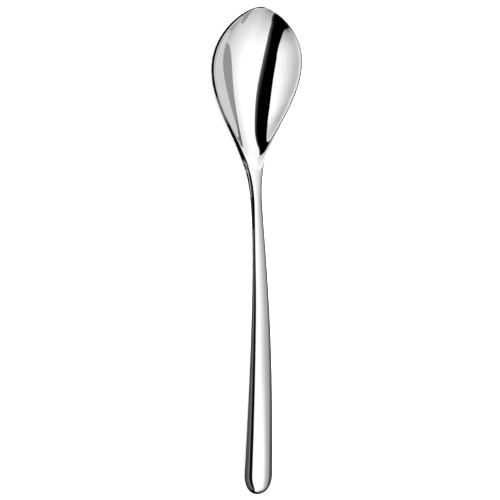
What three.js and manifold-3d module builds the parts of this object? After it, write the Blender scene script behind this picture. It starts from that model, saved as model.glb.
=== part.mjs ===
import * as THREE from 'three';
import { LoftGeometry } from 'three/addons/geometries/LoftGeometry.js';
import { mergeVertices } from 'three/addons/utils/BufferGeometryUtils.js';
import Module from 'manifold-3d';

// A polished steel table spoon with a hollow handle, lying on a table, in millimetres.
// Y runs along the spoon with the tip of the bowl at +Y, X across it, and Z is up from the table.
// A place on the spoon is named by its distance behind the tip.

// Lengths along the spoon, each from the place named first to the next one
const TIP_TO_WIDEST = 24.5;
const WIDEST_TO_SHOULDER = 20.5;
const SHOULDER_TO_THROAT = 14;
const THROAT_TO_ROOT = 12;
const ROOT_TO_NECK = 14;
const NECK_TO_STEM = 20;
const STEM_TO_JOINT = 35;
const JOINT_TO_END = 65;
const WIDEST_TO_DEEPEST = 7.5;
const ROUND_END_LENGTH = 8.6;
const TANG_LENGTH = 30;

// Widths across the spoon
const BOWL_WIDTH = 42.35;
const SHOULDER_WIDTH = 29.75;
const THROAT_WIDTH = 14.45;
const ROOT_WIDTH = 6.6;
const NECK_WIDTH = 5.1;
const STEM_WIDTH = 6.25;
const JOINT_WIDTH = 9.1;
const HANDLE_WIDTH = 12.6;

// Heights of the middle of the section above the table
const TIP_HEIGHT = 14.55;
const SHOULDER_HEIGHT = 7.2;
const THROAT_HEIGHT = 5.6;
const ROOT_HEIGHT = 5.75;
const NECK_HEIGHT = 6.95;
const STEM_HEIGHT = 8.1;
const JOINT_HEIGHT = 7.9;
const END_HEIGHT = 2.2;

// Thicknesses of the steel and of the handle
const BOWL_WALL = 1.7;
const THROAT_THICKNESS = 2.3;
const ROOT_THICKNESS = 3.15;
const NECK_THICKNESS = 2.4;
const STEM_THICKNESS = 2.05;
const JOINT_THICKNESS = 2.95;
const HANDLE_THICKNESS = 4.65;
const SHELL_WALL = 0.5;
const TANG_BEDDING = 0.25;

// The hollow of the bowl, its rounded edges and the fits between pieces
const BOWL_DEPTH = 8.1;
const THROAT_DEPTH = 2;
const TIP_EDGE_LENGTH = 1.2;
const END_EDGE_LENGTH = 3;
const END_LAND = 2;
const FIT_GAP = 0.15;
const REST_FLAT_DEPTH = 0.1;

// Shape of the outline at the tip, slope of the hollow there, how square the sections are, and how far
// the rim leans outwards: at 1 the thickness stands square on the hollow's slope
const TIP_BLUNTNESS = 0.66;
const TIP_HOLLOW_SLOPE = 0.58;
const BOWL_SQUARENESS = 12;
const HANDLE_SQUARENESS = 2.8;
const RIM_LEAN = 1.3;

// Fineness of the facets
const HALF_RING_STEPS = 16;
const BOWL_STEPS = 44;
const HANDLE_STEPS = 20;
const TANG_STEPS = 4;
const BOWL_CROWDING = 1.6;
const HANDLE_CROWDING = 2;
const POINTED_END = 0.05;

// Places along the spoon, behind the tip
const widest = TIP_TO_WIDEST;
const deepest = widest + WIDEST_TO_DEEPEST;
const shoulder = widest + WIDEST_TO_SHOULDER;
const throat = shoulder + SHOULDER_TO_THROAT;
const root = throat + THROAT_TO_ROOT;
const neck = root + ROOT_TO_NECK;
const stem = neck + NECK_TO_STEM;
const joint = stem + STEM_TO_JOINT;
const end = joint + JOINT_TO_END;
const roundEnd = end - ROUND_END_LENGTH;

// A smooth curve through a few points, with its slope given at either end or left free there
function smoothCurve(points, startSlope = null, endSlope = null) {
  const last = points.length - 1;
  const upper = new Array(last + 1).fill(0);
  const slopes = new Array(last + 1).fill(0);
  const span = (i) => points[i + 1][0] - points[i][0];
  const rise = (i) => (points[i + 1][1] - points[i][1]) / span(i);
  upper[0] = startSlope === null ? 0.5 : 0;
  slopes[0] = startSlope === null ? 1.5 * rise(0) : startSlope;
  for (let i = 1; i < last; i++) {
    const before = 1 / span(i - 1);
    const after = 1 / span(i);
    const pivot = 2 * (before + after) - before * upper[i - 1];
    const pull = 3 * (rise(i - 1) * before + rise(i) * after);
    upper[i] = after / pivot;
    slopes[i] = (pull - before * slopes[i - 1]) / pivot;
  }
  const freeEnd = (3 * rise(last - 1) - slopes[last - 1]) / (2 - upper[last - 1]);
  slopes[last] = endSlope === null ? freeEnd : endSlope;
  for (let i = last - 1; i >= 0; i--) {
    slopes[i] -= upper[i] * slopes[i + 1];
  }
  return (distance) => {
    let i = 0;
    while (i < last - 1 && distance > points[i + 1][0]) {
      i++;
    }
    const t = (distance - points[i][0]) / span(i);
    const rest = 1 - t;
    const bend = rest * (slopes[i] - rise(i)) + t * (rise(i) - slopes[i + 1]);
    return rest * points[i][1] + t * points[i + 1][1] + t * rest * span(i) * bend;
  };
}

// A quarter of an ellipse: full size until the last stretch, then closing to nothing at its end
function roundedOff(distance, start, length) {
  const beyond = THREE.MathUtils.clamp((distance - start) / length, 0, 1);
  return Math.sqrt(1 - beyond * beyond);
}

// Width of the outline: a blunt pointed front, then one flowing line to the round end
const widthBehindWidest = smoothCurve([
  [widest, BOWL_WIDTH],
  [shoulder, SHOULDER_WIDTH],
  [throat, THROAT_WIDTH],
  [root, ROOT_WIDTH],
  [neck, NECK_WIDTH],
  [stem, STEM_WIDTH],
  [joint, JOINT_WIDTH],
  [roundEnd, HANDLE_WIDTH],
], 0);

function halfWidth(distance) {
  if (distance < widest) {
    const toWidest = 1 - distance / widest;
    return BOWL_WIDTH / 2 * Math.pow(1 - toWidest * toWidest, TIP_BLUNTNESS);
  }
  return widthBehindWidest(distance) / 2 * roundedOff(distance, roundEnd, ROUND_END_LENGTH);
}

// Thickness of the steel: thin in the bowl, thicker at the root, slim in the stem, thickest at the end
const thicknessBehindShoulder = smoothCurve([
  [shoulder, BOWL_WALL],
  [throat, THROAT_THICKNESS],
  [root, ROOT_THICKNESS],
  [neck, NECK_THICKNESS],
  [stem, STEM_THICKNESS],
  [joint, JOINT_THICKNESS],
  [roundEnd, HANDLE_THICKNESS],
], 0);

function halfThickness(distance) {
  const full = distance < shoulder ? BOWL_WALL : thicknessBehindShoulder(distance);
  const atTip = roundedOff(-distance, -TIP_EDGE_LENGTH, TIP_EDGE_LENGTH);
  const atEnd = roundedOff(distance, end - END_EDGE_LENGTH, END_EDGE_LENGTH);
  return full / 2 * atTip * atEnd;
}

// Depth of the hollow below the rim, fading out at the root of the neck
const hollowDepth = smoothCurve([
  [0, 0],
  [deepest, BOWL_DEPTH],
  [throat, THROAT_DEPTH],
  [root, 0],
], TIP_HOLLOW_SLOPE, 0);

function hollow(distance) {
  return distance < root ? hollowDepth(distance) : 0;
}

// How square the sections are: nearly a flat strip in the bowl, a soft rounded bar in the handle
function squareness(distance) {
  const blend = THREE.MathUtils.smoothstep(distance, shoulder, neck);
  return THREE.MathUtils.lerp(BOWL_SQUARENESS, HANDLE_SQUARENESS, blend);
}

// Height of the middle of the section, before the spoon is laid on the table
const drawnHeight = smoothCurve([
  [0, TIP_HEIGHT],
  [shoulder, SHOULDER_HEIGHT],
  [throat, THROAT_HEIGHT],
  [root, ROOT_HEIGHT],
  [neck, NECK_HEIGHT],
  [stem, STEM_HEIGHT],
  [joint, JOINT_HEIGHT],
  [end, END_HEIGHT],
]);

// Lays the spoon down: it is tipped and lifted until the bowl and the handle both touch the table
function layOnTable() {
  const samples = 400;
  const rounds = 12;
  const underside = (d) => drawnHeight(d) - hollow(d) - halfThickness(d);
  let tilt = 0;
  let lift = 0;
  for (let round = 0; round < rounds; round++) {
    const lowest = [[0, Infinity], [end, Infinity]];
    for (let i = 0; i <= samples; i++) {
      const d = end * i / samples;
      const side = d < stem ? 0 : 1;
      const height = underside(d) + tilt * d + lift;
      if (height < lowest[side][1]) {
        lowest[side] = [d, height];
      }
    }
    const [[bowlAt, bowlHeight], [handleAt, handleHeight]] = lowest;
    const change = (bowlHeight - handleHeight) / (handleAt - bowlAt);
    tilt += change;
    lift -= bowlHeight + change * bowlAt;
  }
  return { tilt, lift };
}

const laid = layOnTable();

function middleHeight(distance) {
  return drawnHeight(distance) + laid.tilt * distance + laid.lift - REST_FLAT_DEPTH;
}

// Half of a section at one distance, as seen from the handle's end looking towards the tip:
// side 1 is its upper half from right to left, and side -1 its lower half from left to right.
// bend is how deep the section is hollowed, and its thickness leans outwards with that slope.
// lift raises the half off the middle line, which leaves a seam between two halves.
function halfSection(distance, side, wide, thick, bend = 0, lift = 0) {
  const square = squareness(distance);
  const points = [];
  for (let step = 0; step <= HALF_RING_STEPS; step++) {
    const across = side * Math.cos(Math.PI * step / HALF_RING_STEPS);
    const round = Math.pow(1 - Math.pow(Math.abs(across), square), 1 / square);
    const sunk = bend * (1 - across * across);
    const lean = RIM_LEAN * Math.atan2(2 * bend * across, wide);
    const up = side * (lift + Math.max(thick - lift, 0) * round);
    points.push(new THREE.Vector3(
      wide * across - up * Math.sin(lean),
      end / 2 - distance,
      middleHeight(distance) - sunk + up * Math.cos(lean),
    ));
  }
  return points;
}

function fullSection(distance, wide, thick, bend = 0) {
  const upper = halfSection(distance, 1, wide, thick, bend);
  const lower = halfSection(distance, -1, wide, thick, bend);
  return [...upper.slice(0, -1), ...lower.slice(0, -1)];
}

// Distances from one place to another, crowded towards the first or the last of them
function crowdedAtStart(from, to, steps, crowding) {
  return Array.from({ length: steps + 1 }, (_, i) => from + (to - from) * Math.pow(i / steps, crowding));
}

function crowdedAtEnd(from, to, steps, crowding) {
  return crowdedAtStart(to, from, steps, crowding).reverse();
}

// The hollow inside the handle, which the two shells leave between them
const cavityEnd = end - END_LAND;

function cavityHalfWidth(distance) {
  const outer = halfWidth(distance);
  return Math.max(outer - SHELL_WALL, outer / 2);
}

function cavityHalfThickness(distance) {
  const open = halfThickness(distance) - SHELL_WALL;
  return Math.max(open, 0) * roundedOff(distance, cavityEnd - ROUND_END_LENGTH, ROUND_END_LENGTH);
}

function fillingHalfWidth(distance) {
  return cavityHalfWidth(distance) - FIT_GAP;
}

function fillingHalfThickness(distance) {
  return cavityHalfThickness(distance) - FIT_GAP;
}

// Solids for the cuts
const wasm = await Module();
wasm.setup();

function toSolid(geometry) {
  const bare = geometry.clone();
  bare.deleteAttribute('normal');
  bare.deleteAttribute('uv');
  const merged = mergeVertices(bare);
  return new wasm.Manifold(new wasm.Mesh({
    numProp: 3,
    vertProperties: new Float32Array(merged.attributes.position.array),
    triVerts: new Uint32Array(merged.index.array),
  }));
}

function toGeometry(solid) {
  const { vertProperties, triVerts } = solid.getMesh();
  const geometry = new THREE.BufferGeometry();
  geometry.setAttribute('position', new THREE.BufferAttribute(vertProperties, 3));
  geometry.setIndex(new THREE.BufferAttribute(triVerts, 1));
  geometry.computeVertexNormals();
  return geometry;
}

function loft(sections) {
  const skin = new LoftGeometry(sections, { capStart: true, capEnd: true });
  return new THREE.BufferGeometry().copy(skin);
}

// The table as a block under the spoon, which leaves a small flat where the spoon rests on it
function restedOnTable(geometry) {
  const table = new THREE.BoxGeometry(2 * BOWL_WIDTH, 2 * end, BOWL_WIDTH);
  table.translate(0, 0, -BOWL_WIDTH / 2);
  return toGeometry(toSolid(geometry).subtract(toSolid(table)));
}

// The forged bowl and neck, with a flat tang behind a square shoulder at the joint
function bowlAndNeck() {
  const sections = crowdedAtStart(POINTED_END, joint, BOWL_STEPS, BOWL_CROWDING)
    .map((d) => fullSection(d, halfWidth(d), halfThickness(d), hollow(d)));
  return restedOnTable(loft([...sections, ...tangSections(joint, 0)]));
}

function tangSections(start, clearance) {
  const margin = TANG_BEDDING + FIT_GAP - clearance;
  const tangEnd = joint + TANG_LENGTH + clearance;
  return crowdedAtStart(start, tangEnd, TANG_STEPS, 1)
    .map((d) => fullSection(d, fillingHalfWidth(joint) - margin, fillingHalfThickness(joint) - margin));
}

// One pressed half of the handle, upper for side 1 and lower for side -1
function handleShell(side) {
  const seam = FIT_GAP / 2;
  const sections = crowdedAtEnd(joint + FIT_GAP, end - POINTED_END, HANDLE_STEPS, HANDLE_CROWDING)
    .map((d) => {
      const outside = halfSection(d, side, halfWidth(d), halfThickness(d), 0, seam);
      const inside = halfSection(d, side, cavityHalfWidth(d), cavityHalfThickness(d), 0, seam);
      return [...outside, ...inside.reverse()];
    });
  return loft(sections);
}

// The compound that fills the handle, with the socket that it leaves round the tang
function handleFilling() {
  const fillingEnd = cavityEnd - ROUND_END_LENGTH;
  const body = loft(crowdedAtStart(joint + FIT_GAP, fillingEnd, HANDLE_STEPS, 1)
    .map((d) => fullSection(d, fillingHalfWidth(d), fillingHalfThickness(d))));
  const socket = loft(tangSections(joint, FIT_GAP));
  return toGeometry(toSolid(body).subtract(toSolid(socket)));
}

function piece(name, geometry, material) {
  const mesh = new THREE.Mesh(geometry, material);
  mesh.name = name;
  return mesh;
}

function polishedSteel() {
  return new THREE.MeshStandardMaterial({ color: 0xd9dadb, roughness: 0.08, metalness: 1 });
}

function fillingCompound() {
  return new THREE.MeshStandardMaterial({ color: 0x8d877c, roughness: 0.9, metalness: 0 });
}

const spoon = new THREE.Group();
spoon.add(piece('bowl_and_neck', bowlAndNeck(), polishedSteel()));
spoon.add(piece('handle_upper_shell', handleShell(1), polishedSteel()));
spoon.add(piece('handle_lower_shell', restedOnTable(handleShell(-1)), polishedSteel()));
spoon.add(piece('handle_filling', handleFilling(), fillingCompound()));

export default spoon;
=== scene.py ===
import math

import bmesh
import bpy
import numpy as np
from mathutils import Matrix, Vector


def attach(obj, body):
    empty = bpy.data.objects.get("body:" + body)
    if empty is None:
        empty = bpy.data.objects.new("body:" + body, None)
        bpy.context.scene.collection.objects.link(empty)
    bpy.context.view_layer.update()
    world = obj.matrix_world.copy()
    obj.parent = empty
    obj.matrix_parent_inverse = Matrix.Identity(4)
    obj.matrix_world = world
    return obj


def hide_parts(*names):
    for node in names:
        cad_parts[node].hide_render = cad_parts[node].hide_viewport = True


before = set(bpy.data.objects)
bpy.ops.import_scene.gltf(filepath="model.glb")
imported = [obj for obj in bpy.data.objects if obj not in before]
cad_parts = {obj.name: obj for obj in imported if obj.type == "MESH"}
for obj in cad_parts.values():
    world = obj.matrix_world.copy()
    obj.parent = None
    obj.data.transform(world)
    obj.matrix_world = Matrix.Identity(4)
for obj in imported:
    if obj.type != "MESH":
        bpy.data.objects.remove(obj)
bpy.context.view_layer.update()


# Bowl and neck
# One forging of stainless steel, pressed into a deep bowl with a pointed tip and drawn to a slim neck.
# The flat tang behind a square step goes into the handle, and the weld there is ground away.
# Sizes are in millimetres, and MM is one of them in the scene's metres.
MM = 0.001

# Places along the spoon, in millimetres behind the tip
WIDEST = 24.5
DEEPEST = 32
SHOULDER = 45
THROAT = 59
ROOT = 71
NECK = 85
STEM = 105
JOINT = 140
END = 205

# Lengths of the rounded ends and of the tang
ROUND_END_LENGTH = 8.6
TIP_EDGE_LENGTH = 1.2
END_EDGE_LENGTH = 3
TANG_LENGTH = 30

# The bowl's sizes, the shape of its tip, how square the sections are and how far the rim leans outwards
BOWL_WIDTH = 42.35
BOWL_WALL = 1.7
BOWL_DEPTH = 8.1
TIP_BLUNTNESS = 0.66
TIP_HOLLOW_SLOPE = 0.58
BOWL_SQUARENESS = 12
HANDLE_SQUARENESS = 2.8
RIM_LEAN = 1.3

# How far inside the handle's outer face the tang lies
TANG_INSET = 1.05

# Fineness of the surface, whose points crowd towards both sides of the rim and towards the tip
RING_STEPS = 200
RIM_CROWDING = 0.45
BOWL_ROWS = 150
BOWL_CROWDING = 1.5
TANG_ROWS = 6
SHARP_ANGLE = math.radians(60)
WELD_DISTANCE = 0.0005 * MM


def flowing_line(points, start_slope=None, end_slope=None):
    """A smooth curve through sizes at a few places, with its slope given at an end or left free there."""
    places = np.array(list(points.keys()), float)
    sizes = np.array(list(points.values()), float)
    spans = np.diff(places)
    rises = np.diff(sizes) / spans
    last = len(places) - 1
    system = np.eye(last + 1)
    pull = np.zeros(last + 1)
    for i in range(1, last):
        system[i, i - 1:i + 2] = 1 / spans[i - 1], 2 / spans[i - 1] + 2 / spans[i], 1 / spans[i]
        pull[i] = 3 * (rises[i - 1] / spans[i - 1] + rises[i] / spans[i])
    for end, beside, slope, rise in ((0, 1, start_slope, rises[0]), (last, last - 1, end_slope, rises[-1])):
        system[end, beside] = 0.5 if slope is None else 0
        pull[end] = 1.5 * rise if slope is None else slope
    slopes = np.linalg.solve(system, pull)

    def size_at(place):
        i = min(max(int(np.searchsorted(places, place)) - 1, 0), last - 1)
        t = (place - places[i]) / spans[i]
        bend = (1 - t) * (slopes[i] - rises[i]) + t * (rises[i] - slopes[i + 1])
        return (1 - t) * sizes[i] + t * sizes[i + 1] + t * (1 - t) * spans[i] * bend

    return size_at


def rounded_off(place, start, length):
    """A quarter of an ellipse: full size until the last stretch, then closing to nothing at its end."""
    beyond = min(max((place - start) / length, 0), 1)
    return math.sqrt(1 - beyond * beyond)


# Width, thickness, depth of the hollow, and height of the rim or of the handle's middle, at the places above
width_line = flowing_line({
    WIDEST: BOWL_WIDTH,
    SHOULDER: 29.75,
    THROAT: 14.45,
    ROOT: 6.6,
    NECK: 5.1,
    STEM: 6.25,
    JOINT: 9.1,
    END - ROUND_END_LENGTH: 12.6,
}, start_slope=0)
thickness_line = flowing_line({
    SHOULDER: BOWL_WALL,
    THROAT: 2.3,
    ROOT: 3.15,
    NECK: 2.4,
    STEM: 2.05,
    JOINT: 2.95,
    END - ROUND_END_LENGTH: 4.65,
}, start_slope=0)
hollow_line = flowing_line({
    0: 0,
    DEEPEST: BOWL_DEPTH,
    THROAT: 2,
    ROOT: 0,
}, start_slope=TIP_HOLLOW_SLOPE, end_slope=0)
height_line = flowing_line({
    0: 14.41,
    SHOULDER: 7.05,
    THROAT: 5.44,
    ROOT: 5.59,
    NECK: 6.79,
    STEM: 7.93,
    JOINT: 7.72,
    END: 2.01,
})


def half_width(place):
    """Half the spoon's width, with a pointed tip and a round end."""
    if place < WIDEST:
        return BOWL_WIDTH / 2 * (1 - (1 - place / WIDEST) ** 2) ** TIP_BLUNTNESS
    return width_line(place) / 2 * rounded_off(place, END - ROUND_END_LENGTH, ROUND_END_LENGTH)


def half_thickness(place):
    """Half the thickness of the steel or of the closed handle, rounded off at the tip and at the end."""
    full = BOWL_WALL if place < SHOULDER else thickness_line(place)
    at_tip = rounded_off(-place, -TIP_EDGE_LENGTH, TIP_EDGE_LENGTH)
    return full / 2 * at_tip * rounded_off(place, END - END_EDGE_LENGTH, END_EDGE_LENGTH)


def squareness(place):
    """How square a section is: nearly a rectangle in the bowl, and an oval from the neck on."""
    t = min(max((place - SHOULDER) / (NECK - SHOULDER), 0), 1)
    return BOWL_SQUARENESS + (HANDLE_SQUARENESS - BOWL_SQUARENESS) * t * t * (3 - 2 * t)


def outer_row(place):
    """A section of the outer form: its place, half width, half thickness and the depth of its hollow."""
    hollow = hollow_line(place) if place < ROOT else 0
    return place, half_width(place), half_thickness(place), hollow


def tang_row(place):
    """A section of the tang, which is the same all along."""
    return place, half_width(JOINT) - TANG_INSET, half_thickness(JOINT) - TANG_INSET, 0


def section_point(row, angle):
    """A point of the section at one place, its angle counted from the right side over the top.

    The wall's thickness leans outwards with the hollow's slope, at the rim a little more than square to it.
    """
    place, wide, thick, hollow = row
    across = math.cos(angle)
    square = squareness(place)
    from_middle = thick * max(1 - abs(across) ** square, 0) ** (1 / square)
    up = math.copysign(from_middle, math.sin(angle))
    lean = RIM_LEAN * math.atan2(2 * hollow * across, wide)
    height = height_line(place) - hollow * (1 - across * across) + up * math.cos(lean)
    return Vector((wide * across - up * math.sin(lean), END / 2 - place, max(height, 0))) * MM


def skin(rows, start_angle, end_angle, steps):
    """Bends a flat grid round the sections of a piece, one row of the grid for each, and welds what meets.

    The points of a row crowd towards both sides, so that the rim's corners come out round.
    """
    bm = bmesh.new()
    bmesh.ops.create_grid(bm, x_segments=steps, y_segments=len(rows) - 1, size=0.5)
    for vert in bm.verts:
        row = rows[round((vert.co.y + 0.5) * (len(rows) - 1))]
        angle = start_angle + (end_angle - start_angle) * (vert.co.x + 0.5)
        vert.co = section_point(row, angle - RIM_CROWDING * math.sin(2 * angle))
    bmesh.ops.remove_doubles(bm, verts=bm.verts, dist=WELD_DISTANCE)
    bmesh.ops.recalc_face_normals(bm, faces=bm.faces)
    return bm


def finished_piece(name, bm):
    """Makes the object: smooth all over, apart from its square corners."""
    for face in bm.faces:
        face.smooth = True
    for edge in bm.edges:
        edge.smooth = edge.calc_face_angle(0) < SHARP_ANGLE
    mesh = bpy.data.meshes.new(name)
    bm.to_mesh(mesh)
    bm.free()
    piece = bpy.data.objects.new(name, mesh)
    bpy.context.scene.collection.objects.link(piece)
    return piece


def places_between(start, end, count, crowding=1):
    """Places from start to end, crowded towards the start."""
    return [start + (end - start) * (i / count) ** crowding for i in range(count + 1)]


def colour(hex_code):
    """An sRGB hex colour as linear red, green, blue and alpha."""
    channels = [int(hex_code[i:i + 2], 16) / 255 for i in (1, 3, 5)]
    linear = [c / 12.92 if c <= 0.04045 else ((c + 0.055) / 1.055) ** 2.4 for c in channels]
    return (*linear, 1)


def add_node(tree, kind, settings, inputs):
    """Adds a shader node. Settings are its own options, and an input is a value or another node's output."""
    node = tree.nodes.new("ShaderNode" + kind)
    for option, value in settings.items():
        setattr(node, option, value)
    for socket, value in inputs.items():
        if isinstance(value, bpy.types.NodeSocket):
            tree.links.new(value, node.inputs[socket])
        else:
            node.inputs[socket].default_value = value
    return node


def new_material(name):
    """An empty material and its tree."""
    material = bpy.data.materials.new(name)
    material.use_nodes = True
    material.node_tree.nodes.clear()
    return material, material.node_tree


# Stainless steel ground, buffed and mirror polished: neutral and very bright, with sharp reflections.
# Buffing leaves hair-fine lines along the spoon, and use leaves faint cloudy patches.
STEEL_BRIGHT = "#cacaca"
STEEL_CLOUDY = "#c3c3c4"
STEEL_ROUGHNESS = 0.012
STEEL_CLOUD_ROUGHNESS = 0.025
# Real buffing lines are about 0.02 mm apart; these are coarser, so that they show at all.
BUFFING_LINE_SPACING = 0.35
BUFFING_LINE_LENGTH = 25
BUFFING_LINE_DEPTH = 0.0004
BUFFING_LINE_DETAIL = 3
CLOUD_SIZE = 9
CLOUD_DETAIL = 4

polished_steel, tree = new_material("mirror_polished_stainless_steel")
place = add_node(tree, "TexCoord", {}, {}).outputs["Object"]
line_scale = Vector((1 / BUFFING_LINE_SPACING, 1 / BUFFING_LINE_LENGTH, 1 / BUFFING_LINE_SPACING)) / MM
along = add_node(tree, "Mapping", {}, {"Vector": place, "Scale": line_scale})
lines = add_node(tree, "TexNoise", {}, {
    "Vector": along.outputs["Vector"],
    "Scale": 1,
    "Detail": BUFFING_LINE_DETAIL,
})
clouds = add_node(tree, "TexNoise", {}, {
    "Vector": place,
    "Scale": 1 / (CLOUD_SIZE * MM),
    "Detail": CLOUD_DETAIL,
})
tint = add_node(tree, "MixRGB", {}, {
    "Fac": clouds.outputs["Fac"],
    "Color1": colour(STEEL_BRIGHT),
    "Color2": colour(STEEL_CLOUDY),
})
gloss = add_node(tree, "MapRange", {}, {
    "Value": clouds.outputs["Fac"],
    "To Min": STEEL_ROUGHNESS,
    "To Max": STEEL_CLOUD_ROUGHNESS,
})
grain = add_node(tree, "Bump", {}, {
    "Height": lines.outputs["Fac"],
    "Distance": BUFFING_LINE_DEPTH * MM,
})
steel = add_node(tree, "BsdfPrincipled", {}, {
    "Base Color": tint.outputs["Color"],
    "Metallic": 1,
    "Roughness": gloss.outputs["Result"],
    "Normal": grain.outputs["Normal"],
})
add_node(tree, "OutputMaterial", {}, {"Surface": steel.outputs["BSDF"]})

bowl_rows = [outer_row(place) for place in places_between(0, JOINT, BOWL_ROWS, BOWL_CROWDING)]
tang_rows = [tang_row(place) for place in places_between(JOINT, JOINT + TANG_LENGTH, TANG_ROWS)]
closed_end = (JOINT + TANG_LENGTH, 0, 0, 0)
bowl_and_neck = finished_piece(
    "spoon_bowl_and_neck",
    skin([*bowl_rows, *tang_rows, closed_end], 0, 2 * math.pi, RING_STEPS),
)
bowl_and_neck.data.materials.append(polished_steel)
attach(bowl_and_neck, "root")
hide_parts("bowl_and_neck")


# Handle shells
# Two halves pressed from thin stainless sheet, an upper one and a lower one, that close round the tang.
# They are welded along the middle of the sides, and the seam is ground and polished until it can't be seen.
SHELL_WALL = 0.5
HANDLE_ROWS = 90
HANDLE_CROWDING = 1.8

handle_places = places_between(END, JOINT, HANDLE_ROWS, HANDLE_CROWDING)
handle_rows = [outer_row(place) for place in reversed(handle_places)]
for half, start_angle in (("upper", 0), ("lower", math.pi)):
    bm = skin(handle_rows, start_angle, start_angle + math.pi, RING_STEPS // 2)
    bmesh.ops.solidify(bm, geom=bm.faces[:], thickness=SHELL_WALL * MM)
    shell = finished_piece(f"spoon_handle_{half}_shell", bm)
    shell.data.materials.append(polished_steel)
    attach(shell, "root")
    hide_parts(f"handle_{half}_shell")


# Handle filling
# The compound that is poured into the handle round the tang: mineral powder in resin, set hard.
# It is closed in by the two shells, so it shows only when the handle is cut open.
FILLING_GREY = "#8d877c"
FILLING_PALE = "#a59f92"
FILLING_ROUGHNESS = 0.75
FILLING_PALE_ROUGHNESS = 0.95
FILLING_GRAIN_SIZE = 0.6
FILLING_GRAIN_DEPTH = 0.05
FILLING_GRAIN_DETAIL = 5

filling_compound, tree = new_material("set_filling_compound")
place = add_node(tree, "TexCoord", {}, {}).outputs["Object"]
grains = add_node(tree, "TexNoise", {}, {
    "Vector": place,
    "Scale": 1 / (FILLING_GRAIN_SIZE * MM),
    "Detail": FILLING_GRAIN_DETAIL,
})
tint = add_node(tree, "MixRGB", {}, {
    "Fac": grains.outputs["Fac"],
    "Color1": colour(FILLING_GREY),
    "Color2": colour(FILLING_PALE),
})
gloss = add_node(tree, "MapRange", {}, {
    "Value": grains.outputs["Fac"],
    "To Min": FILLING_ROUGHNESS,
    "To Max": FILLING_PALE_ROUGHNESS,
})
relief = add_node(tree, "Bump", {}, {
    "Height": grains.outputs["Fac"],
    "Distance": FILLING_GRAIN_DEPTH * MM,
})
compound = add_node(tree, "BsdfPrincipled", {}, {
    "Base Color": tint.outputs["Color"],
    "Roughness": gloss.outputs["Result"],
    "Normal": relief.outputs["Normal"],
})
add_node(tree, "OutputMaterial", {}, {"Surface": compound.outputs["BSDF"]})
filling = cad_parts["handle_filling"]
filling.data.materials.clear()
filling.data.materials.append(filling_compound)


# Floor
# A wide sheet of plain white paper that the spoon lies on, lit so evenly that it has no visible edge.
# The steel doesn't mirror it, which keeps the line round the spoon's edge dark.
FLOOR_WHITE = "#f8f8f7"
FLOOR_ROUGHNESS = 0.9
FLOOR_SIZE = 4000

paper, tree = new_material("white_paper")
sheet = add_node(tree, "BsdfPrincipled", {}, {
    "Base Color": colour(FLOOR_WHITE),
    "Roughness": FLOOR_ROUGHNESS,
})
add_node(tree, "OutputMaterial", {}, {"Surface": sheet.outputs["BSDF"]})
bm = bmesh.new()
bmesh.ops.create_grid(bm, x_segments=1, y_segments=1, size=FLOOR_SIZE / 2 * MM)
floor = finished_piece("floor", bm)
floor.data.materials.append(paper)
floor.visible_glossy = False


# Studio light
# Two big soft boxes hang over the spoon with a dark gap between them, and smaller cards are put up closer.
# Only the steel sees them: the camera, the floor and the shadows see an evenly white room instead.
ROOM_WHITE = "#ffffff"
ROOM_LIGHT = 2.8
STUDIO_LIGHT = 1.85
# Tones of the studio behind the cards, by the angle across the spoon, in degrees from overhead to the right
STUDIO_ACROSS = {
    -180: "#080808",
    -60: "#0c0c0c",
    -40: "#060606",
    0: "#000000",
    8: "#ffffff",
    46: "#fdfdfd",
    54: "#f3f3f3",
    62: "#e6e6e6",
    70: "#dedede",
    78: "#d4d4d4",
    86: "#c4c4c4",
    92: "#b0b0b0",
    96: "#303030",
    105: "#101010",
    180: "#0c0c0c",
}
# Shade towards both ends of the studio, by the angle along the spoon, in degrees towards the tip
STUDIO_ALONG = {
    -90: "#262626",
    -80: "#505050",
    -70: "#5e5e5e",
    -67: "#9c9c9c",
    -60: "#bababa",
    -52: "#d8d8d8",
    -44: "#f0f0f0",
    -36: "#ffffff",
    20: "#ffffff",
    28: "#f6f6f6",
    42: "#bcbcbc",
    54: "#202020",
    90: "#000000",
}


def tones_by_place(tree, place, tones):
    """A tone that changes smoothly with a place or an angle, from the tones at a few of them."""
    start, end = min(tones), max(tones)
    share = add_node(tree, "MapRange", {}, {"Value": place, "From Min": start, "From Max": end})
    blend = add_node(tree, "ValToRGB", {}, {"Fac": share.outputs["Result"]})
    stops = blend.color_ramp.elements
    for at, hex_code in tones.items():
        ends = {start: stops[0], end: stops[-1]}
        stop = ends[at] if at in ends else stops.new((at - start) / (end - start))
        stop.color = colour(hex_code)
    return blend.outputs["Color"]


def edge_by_place(tree, place, edge):
    """How far a card's edge is from the spoon's middle: a smooth line through a few places along it."""
    start, end = min(edge), max(edge)
    inmost, outmost = min(edge.values()), max(edge.values())
    share = add_node(tree, "MapRange", {}, {"Value": place, "From Min": start, "From Max": end})
    line = add_node(tree, "FloatCurve", {}, {"Value": share.outputs["Result"]})
    points = line.mapping.curves[0].points
    for at, across in edge.items():
        share_along = (at - start) / (end - start)
        share_across = (across - inmost) / (outmost - inmost)
        if at in (start, end):
            points[0 if at == start else -1].location = share_along, share_across
        else:
            points.new(share_along, share_across)
    line.mapping.update()
    return add_node(tree, "MapRange", {}, {
        "Value": line.outputs["Value"],
        "To Min": inmost,
        "To Max": outmost,
    }).outputs["Result"]


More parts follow.
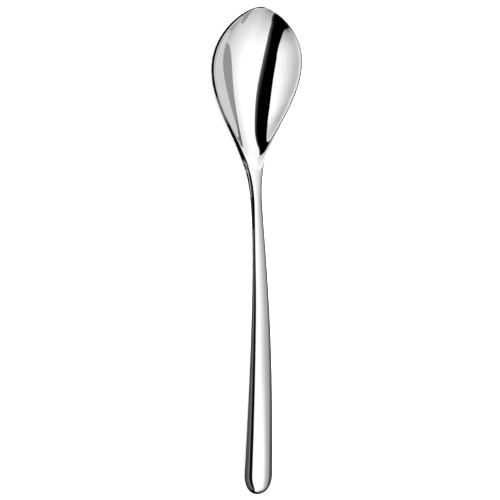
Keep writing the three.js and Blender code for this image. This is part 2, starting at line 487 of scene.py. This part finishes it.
world = bpy.data.worlds.new("studio")
bpy.context.scene.world = world
world.use_nodes = True
tree = world.node_tree
tree.nodes.clear()
direction = add_node(tree, "TexCoord", {}, {}).outputs["Generated"]
parts = add_node(tree, "SeparateXYZ", {}, {"Vector": direction})
turn_across = add_node(tree, "Math", {"operation": "ARCTAN2"}, {
    0: parts.outputs["X"],
    1: parts.outputs["Z"],
})
turn_along = add_node(tree, "Math", {"operation": "ARCSINE"}, {0: parts.outputs["Y"]})
angle_across = add_node(tree, "Math", {"operation": "DEGREES"}, {0: turn_across.outputs["Value"]})
angle_along = add_node(tree, "Math", {"operation": "DEGREES"}, {0: turn_along.outputs["Value"]})
backdrop = add_node(tree, "MixRGB", {"blend_type": "MULTIPLY"}, {
    "Fac": 1,
    "Color1": tones_by_place(tree, angle_across.outputs["Value"], STUDIO_ACROSS),
    "Color2": tones_by_place(tree, angle_along.outputs["Value"], STUDIO_ALONG),
})
studio = add_node(tree, "Background", {}, {
    "Color": backdrop.outputs["Color"],
    "Strength": STUDIO_LIGHT,
})
room = add_node(tree, "Background", {}, {"Color": colour(ROOM_WHITE), "Strength": ROOM_LIGHT})
ray = add_node(tree, "LightPath", {}, {})
both = add_node(tree, "MixShader", {}, {
    "Fac": ray.outputs["Is Glossy Ray"],
    1: room.outputs["Background"],
    2: studio.outputs["Background"],
})
add_node(tree, "OutputWorld", {}, {"Surface": both.outputs["Shader"]})
bpy.context.scene.view_settings.view_transform = "Standard"

ROUND_CARD_SIDES = 64
OVERHEAD = Matrix.Identity(3)
BESIDE = Matrix.Rotation(math.pi / 2, 3, "Y")


def new_card(name, middle, size, facing, is_round=False):
    """A flat card that only the steel sees. Gives back its material's tree, which has no tone yet."""
    bm = bmesh.new()
    if is_round:
        bmesh.ops.create_circle(bm, cap_ends=True, segments=ROUND_CARD_SIDES, radius=0.5)
    else:
        bmesh.ops.create_grid(bm, x_segments=1, y_segments=1, size=0.5)
    bmesh.ops.scale(bm, vec=Vector((*size, 1)) * MM, verts=bm.verts)
    bmesh.ops.rotate(bm, matrix=facing, verts=bm.verts)
    bmesh.ops.translate(bm, vec=Vector(middle) * MM, verts=bm.verts)
    card = finished_piece(name, bm)
    card.visible_camera = False
    card.visible_diffuse = False
    card.visible_shadow = False
    material, tree = new_material(name)
    card.data.materials.append(material)
    return tree


def let_glow(tree, tone):
    """Lights a card, with one tone or with tones that change over it."""
    glow = add_node(tree, "Emission", {}, {"Color": tone, "Strength": STUDIO_LIGHT})
    add_node(tree, "OutputMaterial", {}, {"Surface": glow.outputs["Emission"]})


def hang_card(name, height, edge, tones_across, tones_along):
    """Hangs a level card over the spoon. Its tones across are by the distance to the right of its edge."""
    left = min(edge.values()) + min(tones_across)
    right = max(edge.values()) + max(tones_across)
    near, far = min(tones_along), max(tones_along)
    middle = (left + right) / 2, (near + far) / 2, height
    tree = new_card(name, middle, (right - left, far - near), OVERHEAD)
    place = add_node(tree, "TexCoord", {}, {}).outputs["Object"]
    in_mm = add_node(tree, "VectorMath", {"operation": "SCALE"}, {0: place, "Scale": 1 / MM})
    parts = add_node(tree, "SeparateXYZ", {}, {"Vector": in_mm.outputs["Vector"]})
    from_edge = add_node(tree, "Math", {"operation": "SUBTRACT"}, {
        0: parts.outputs["X"],
        1: edge_by_place(tree, parts.outputs["Y"], edge),
    })
    tone = add_node(tree, "MixRGB", {"blend_type": "MULTIPLY"}, {
        "Fac": 1,
        "Color1": tones_by_place(tree, from_edge.outputs["Value"], tones_across),
        "Color2": tones_by_place(tree, parts.outputs["Y"], tones_along),
    })
    let_glow(tree, tone.outputs["Color"])


# The soft boxes far overhead: where their edges run, in millimetres along and across from the spoon's
# middle, and their tones, by the distance from that edge and by the distance along the spoon
RIGHT_BOX_HEIGHT = 1000
RIGHT_BOX_EDGE = {
    -4000: -250,
    -2800: -250,
    -2480: 60,
    -2330: 240,
    -1900: 240,
    -1500: 190,
    -1230: 185,
    -850: 150,
    -600: 133,
    -300: 124,
    0: 160,
    200: 208,
    400: 272,
    455: 285,
    489: 268,
    522: 245,
    551: 205,
    575: 120,
    620: -100,
    1300: -100,
}
RIGHT_BOX_ACROSS = {
    -150: "#000000",
    -100: "#222222",
    -40: "#555555",
    -9: "#6a6a6a",
    9: "#ffffff",
    250: "#ffffff",
}
RIGHT_BOX_ALONG = {
    -4000: "#505050",
    -2905: "#5e5e5e",
    -2479: "#9c9c9c",
    -1810: "#bababa",
    -1310: "#d8d8d8",
    -970: "#f0f0f0",
    -710: "#ffffff",
    440: "#ffffff",
    625: "#f6f6f6",
    1025: "#bcbcbc",
    1300: "#707070",
}
LEFT_BOX_HEIGHT = 990
LEFT_BOX_EDGE = {
    -1500: -365,
    -1380: -339,
    -1090: -287,
    -870: -262,
    -700: -250,
    -400: -272,
    0: -308,
    280: -340,
    465: -367,
    560: -397,
    700: -397,
}
LEFT_BOX_ACROSS = {
    -800: "#989898",
    -600: "#aaaaaa",
    -532: "#b8b8b8",
    -488: "#c2c2c2",
    -431: "#d0d0d0",
    -372: "#dcdcdc",
    -300: "#e8e8e8",
    -250: "#f0f0f0",
    -184: "#f8f8f8",
    -60: "#ffffff",
    -2: "#ffffff",
    2: "#000000",
}
LEFT_BOX_ALONG = {
    -1500: "#404040",
    -1420: "#808080",
    -1288: "#aaaaaa",
    -1060: "#bfbfbf",
    -870: "#dcdcdc",
    -600: "#f2f2f2",
    -300: "#f6f6f6",
    0: "#ffffff",
    430: "#ffffff",
    478: "#ececec",
    513: "#e6e6e6",
    550: "#d8d8d8",
    600: "#cccccc",
    700: "#c0c0c0",
}
hang_card("right_soft_box", RIGHT_BOX_HEIGHT, RIGHT_BOX_EDGE, RIGHT_BOX_ACROSS, RIGHT_BOX_ALONG)
hang_card("left_soft_box", LEFT_BOX_HEIGHT, LEFT_BOX_EDGE, LEFT_BOX_ACROSS, LEFT_BOX_ALONG)

# Two cards close over the handle: a white one that turns grey to the right,
# and just above it one that is dark to the left
HANDLE_CARD_HEIGHT = 25
HANDLE_CARD_EDGE = {
    -170: 15,
    -95: 12,
    -82: 10.5,
    -66: 8.5,
    -38: 6,
    12: 6.5,
    22: 7,
    32: 8,
    40: 9,
}
HANDLE_CARD_ACROSS = {
    -6: "#ffffff",
    0: "#fcfcfc",
    1: "#eeeeee",
    3: "#cecece",
    5: "#b4b4b4",
    7: "#acacac",
    9: "#a8a8a8",
    11: "#a4a4a4",
    13: "#9c9c9c",
    15: "#8a8a8a",
    18: "#7c7c7c",
    22: "#707070",
}
HANDLE_FLAG_HEIGHT = 26
HANDLE_FLAG_EDGE = {
    -170: -2.0,
    -60: -2.0,
    -38: -1.7,
    -20: -0.8,
    0: -1.2,
    20: -0.2,
    30: 1.0,
    40: 1.6,
}
HANDLE_FLAG_ACROSS = {
    -400: "#404040",
    -100: "#505050",
    -60: "#606060",
    -40: "#6c6c6c",
    -28: "#7c7c7c",
    -19: "#787878",
    -15: "#5a5a5a",
    -11: "#1c1c1c",
    -8: "#040404",
    -1: "#000000",
    -0.3: "#3c3c3c",
    0.5: "#f8f8f8",
    7: "#ffffff",
}
HANDLE_CARDS_ALONG = {-170: "#ffffff", 40: "#ffffff"}
hang_card("handle_card", HANDLE_CARD_HEIGHT, HANDLE_CARD_EDGE, HANDLE_CARD_ACROSS, HANDLE_CARDS_ALONG)
hang_card("handle_flag", HANDLE_FLAG_HEIGHT, HANDLE_FLAG_EDGE, HANDLE_FLAG_ACROSS, HANDLE_CARDS_ALONG)

# A card over the throat, which shades the way from the bowl to the neck from grey to white.
# Its edge is straight but for a slight slant, which the smooth line needs, and so is the next card's.
THROAT_CARD_HEIGHT = 24
THROAT_CARD_EDGE = {39.6: 0, 49.2: 0.1}
THROAT_CARD_ACROSS = {
    -16: "#606060",
    -6: "#707070",
    -1: "#707070",
    1: "#848484",
    3: "#b0b0b0",
    5: "#cccccc",
    7: "#e0e0e0",
    8.5: "#e8e8e8",
    9.5: "#f6f6f6",
    11: "#ffffff",
    32: "#ffffff",
}
THROAT_CARD_ALONG = {39.6: "#f8f8f8", 49.2: "#ffffff"}
hang_card("throat_card", THROAT_CARD_HEIGHT, THROAT_CARD_EDGE, THROAT_CARD_ACROSS, THROAT_CARD_ALONG)

# A dark card over the tip, which darkens its rim
TIP_FLAG_HEIGHT = 22
TIP_FLAG_EDGE = {92: 0, 116: 0.1}
TIP_FLAG_ACROSS = {
    -30: "#000000",
    -2: "#080808",
    4: "#505050",
    8: "#707070",
    40: "#707070",
}
TIP_FLAG_ALONG = {92: "#ffffff", 116: "#ffffff"}
hang_card("tip_flag", TIP_FLAG_HEIGHT, TIP_FLAG_EDGE, TIP_FLAG_ACROSS, TIP_FLAG_ALONG)


def put_up_card(name, middle, size, tone, facing=BESIDE, is_round=False):
    """Puts up a card of one tone. A standing card's size is its height and its length along the spoon."""
    let_glow(new_card(name, middle, size, facing, is_round), colour(tone))


# Grey cards that stand along both sides of the handle and give its edges their grey lines
RIGHT_CARD_MIDDLE = (30, -62.5, -8)
RIGHT_CARD_SIZE = (66, 215)
RIGHT_CARD_TONE = "#505050"
LEFT_CARD_MIDDLE = (-30, -67.5, -8)
LEFT_CARD_SIZE = (66, 205)
LEFT_CARD_TONE = "#4c4c4c"
put_up_card("right_card", RIGHT_CARD_MIDDLE, RIGHT_CARD_SIZE, RIGHT_CARD_TONE)
put_up_card("left_card", LEFT_CARD_MIDDLE, LEFT_CARD_SIZE, LEFT_CARD_TONE)

# Round cards far to the right, which the left wall of the bowl mirrors as grey shapes
GREY_DISC_MIDDLE = (500, 22, 82)
GREY_DISC_SIZE = (330, 330)
GREY_DISC_TONE = "#909090"
DARK_DISC_MIDDLE = (510, 42, 84)
DARK_DISC_SIZE = (336, 336)
DARK_DISC_TONE = "#5c5c5c"
BACK_DISC_MIDDLE = (505, -350, 48)
BACK_DISC_SIZE = (115, 115)
BACK_DISC_TONE = "#969696"
put_up_card("grey_disc", GREY_DISC_MIDDLE, GREY_DISC_SIZE, GREY_DISC_TONE, is_round=True)
put_up_card("dark_disc", DARK_DISC_MIDDLE, DARK_DISC_SIZE, DARK_DISC_TONE, is_round=True)
put_up_card("back_disc", BACK_DISC_MIDDLE, BACK_DISC_SIZE, BACK_DISC_TONE, is_round=True)

# Cards to the left of the neck: two pale ones low and close, which give its edge a pale line,
# and two black ones further out and higher, which give it the dark line beside that
NECK_CARD_MIDDLE = (-10, 26.9, -1)
NECK_CARD_SIZE = (8, 8.8)
NECK_TOP_CARD_MIDDLE = (-10, 33.1, 3.5)
NECK_TOP_CARD_SIZE = (3.2, 3.6)
NECK_PALE_TONE = "#c0c0c0"
NECK_SIDE_MIDDLE = (-29, 22.5, 10)
NECK_SIDE_SIZE = (30, 21)
NECK_FLAG_MIDDLE = (-21, 23, 25.5)
NECK_FLAG_SIZE = (18, 22)
NECK_DARK_TONE = "#080808"
put_up_card("neck_card", NECK_CARD_MIDDLE, NECK_CARD_SIZE, NECK_PALE_TONE)
put_up_card("neck_top_card", NECK_TOP_CARD_MIDDLE, NECK_TOP_CARD_SIZE, NECK_PALE_TONE)
put_up_card("neck_side", NECK_SIDE_MIDDLE, NECK_SIDE_SIZE, NECK_DARK_TONE)
put_up_card("neck_flag", NECK_FLAG_MIDDLE, NECK_FLAG_SIZE, NECK_DARK_TONE, facing=OVERHEAD)


# Camera
# A long lens looks down on the spoon from its left side, with the tip at the top of the frame.
# It stands so far off that the picture has hardly any perspective.
CAMERA_LENS = 600
CAMERA_DISTANCE = 3509.2
CAMERA_REACH = 10000
CAMERA_LEAN = math.radians(28)
# The roll in radians, and how far the middle of the frame is to the right of the spoon's middle and above it
CAMERA_ROLL = -0.02255
FRAME_CENTRE = (-0.08, 0.403)

level_right = Vector((math.cos(CAMERA_LEAN), 0, math.sin(CAMERA_LEAN)))
backward = Vector((-math.sin(CAMERA_LEAN), 0, math.cos(CAMERA_LEAN)))
ahead = Vector((0, 1, 0))
right = level_right * math.cos(CAMERA_ROLL) + ahead * math.sin(CAMERA_ROLL)
up = ahead * math.cos(CAMERA_ROLL) - level_right * math.sin(CAMERA_ROLL)
camera = bpy.data.objects.new("camera", bpy.data.cameras.new("camera"))
camera.data.lens = CAMERA_LENS
camera.data.clip_end = CAMERA_REACH * MM
turned = Matrix((right, up, backward)).transposed().to_4x4()
eye = backward * CAMERA_DISTANCE + right * FRAME_CENTRE[0] + up * FRAME_CENTRE[1]
camera.matrix_world = Matrix.Translation(eye * MM) @ turned
bpy.context.scene.collection.objects.link(camera)
bpy.context.scene.camera = camera
